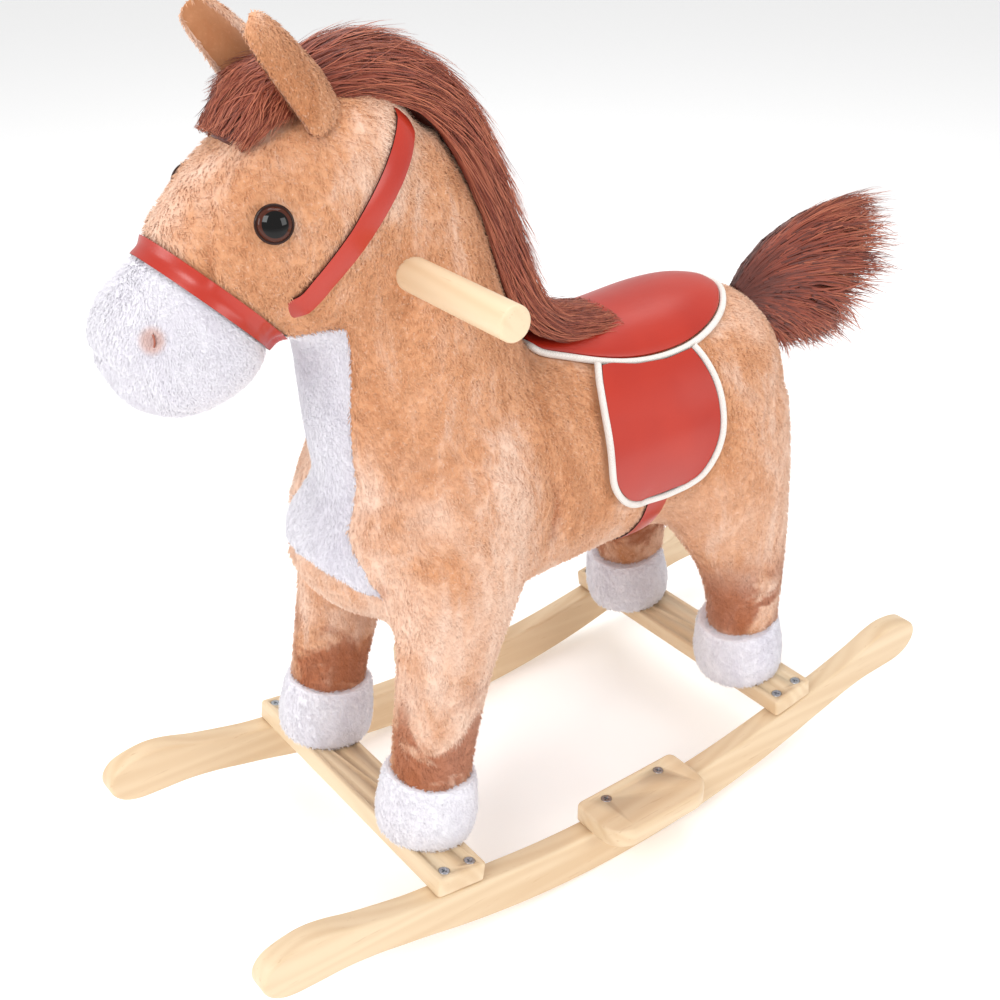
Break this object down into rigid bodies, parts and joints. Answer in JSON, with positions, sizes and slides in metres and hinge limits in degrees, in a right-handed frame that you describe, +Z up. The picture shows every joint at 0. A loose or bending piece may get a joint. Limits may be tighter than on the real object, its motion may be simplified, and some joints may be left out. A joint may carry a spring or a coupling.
{
  "type": "rocking horse",
  "caption": "Plush rocking horse with a saddle and bridle, standing on a wooden frame with curved rockers, footrests and a handle through the neck.",
  "frame": {"origin": "on the floor under the middle of the overall length and width", "axes": "+X to the horse's left, -Y the way the horse faces, +Z up"},
  "size_m": [0.326, 0.7383, 0.665],
  "materials": {
    "beech": "clear-lacquered pale beech, satin",
    "pine": "bare softwood and plywood, hidden inside the plush",
    "screw_steel": "zinc-plated cross-head screws and bolts",
    "caramel_plush": "short soft pile, mottled caramel, over polyester stuffing",
    "white_plush": "short soft white pile over polyester stuffing",
    "chestnut_pile": "long straight red-brown pile",
    "brick_leather": "smooth semi-gloss brick-red imitation leather",
    "white_piping": "white woven piping over a cord",
    "eye_plastic": "glossy black domed eye with a brown rim",
    "rivet_enamel": "white enamelled cap"
  },
  "bodies": {
    "horse": {"body_board": "pine", "chest_bib": "white_plush", "crossbar_front": "beech", "crossbar_rear": "beech", "eye_left": "eye_plastic", "eye_right": "eye_plastic", "footrest_left": "beech", "footrest_right": "beech", "forelock": "chestnut_pile", "girth": "brick_leather", "handle_dowel": "beech", "head": "caramel_plush", "headstall": "brick_leather", "hoof_front_left": "white_plush", "hoof_front_right": "white_plush", "hoof_rear_left": "white_plush", "hoof_rear_right": "white_plush", "leg_bolt_front_left": "screw_steel", "leg_bolt_front_right": "screw_steel", "leg_bolt_rear_left": "screw_steel", "leg_bolt_rear_right": "screw_steel", "leg_front_left": "caramel_plush", "leg_front_right": "caramel_plush", "leg_post_front_left": "pine", "leg_post_front_right": "pine", "leg_post_rear_left": "pine", "leg_post_rear_right": "pine", "leg_rear_left": "caramel_plush", "leg_rear_right": "caramel_plush", "mane": "chestnut_pile", "muzzle": "white_plush", "neck_board": "pine", "noseband": "brick_leather", "rivet_left": "rivet_enamel", "rivet_right": "rivet_enamel", "rocker_left": "beech", "rocker_right": "beech", "saddle_seat": "brick_leather", "saddle_seat_piping": "white_piping", "screw_footrest_left_a": "screw_steel", "screw_footrest_left_b": "screw_steel", "screw_footrest_right_a": "screw_steel", "screw_footrest_right_b": "screw_steel", "screw_front_left_a": "screw_steel", "screw_front_left_b": "screw_steel", "screw_front_right_a": "screw_steel", "screw_front_right_b": "screw_steel", "screw_rear_left_a": "screw_steel", "screw_rear_left_b": "screw_steel", "screw_rear_right_a": "screw_steel", "screw_rear_right_b": "screw_steel", "torso": "caramel_plush"},
    "flap_left": {"saddle_flap_left": "brick_leather", "saddle_flap_piping_left": "white_piping"},
    "flap_right": {"saddle_flap_right": "brick_leather", "saddle_flap_piping_right": "white_piping"},
    "tail": {"tail": "chestnut_pile"},
    "ear_left": {"ear_left": "caramel_plush"},
    "ear_right": {"ear_right": "caramel_plush"}
  },
  "joints": [
    {"name": "saddle_flap_left_lift", "type": "hinge", "parent": "horse", "child": "flap_left", "pos_m": [0.07073, 0.02, 0.38751], "axis": [0, -1, 0], "range_deg": [0, 65]},
    {"name": "saddle_flap_right_lift", "type": "hinge", "parent": "horse", "child": "flap_right", "pos_m": [-0.07073, 0.02, 0.38751], "axis": [0, 1, 0], "range_deg": [0, 65]},
    {"name": "tail_swing", "type": "hinge", "parent": "horse", "child": "tail", "pos_m": [0, 0.175, 0.394], "axis": [0, 0, 1], "range_deg": [-25, 25], "stiffness_Nm_per_rad": 1.2},
    {"name": "ear_left_flick", "type": "hinge", "parent": "horse", "child": "ear_left", "pos_m": [0.036, -0.23, 0.604], "axis": [0, 1, 0], "range_deg": [-10, 10], "stiffness_Nm_per_rad": 0.15},
    {"name": "ear_right_flick", "type": "hinge", "parent": "horse", "child": "ear_right", "pos_m": [-0.036, -0.23, 0.604], "axis": [0, -1, 0], "range_deg": [-10, 10], "stiffness_Nm_per_rad": 0.15}
  ]
}
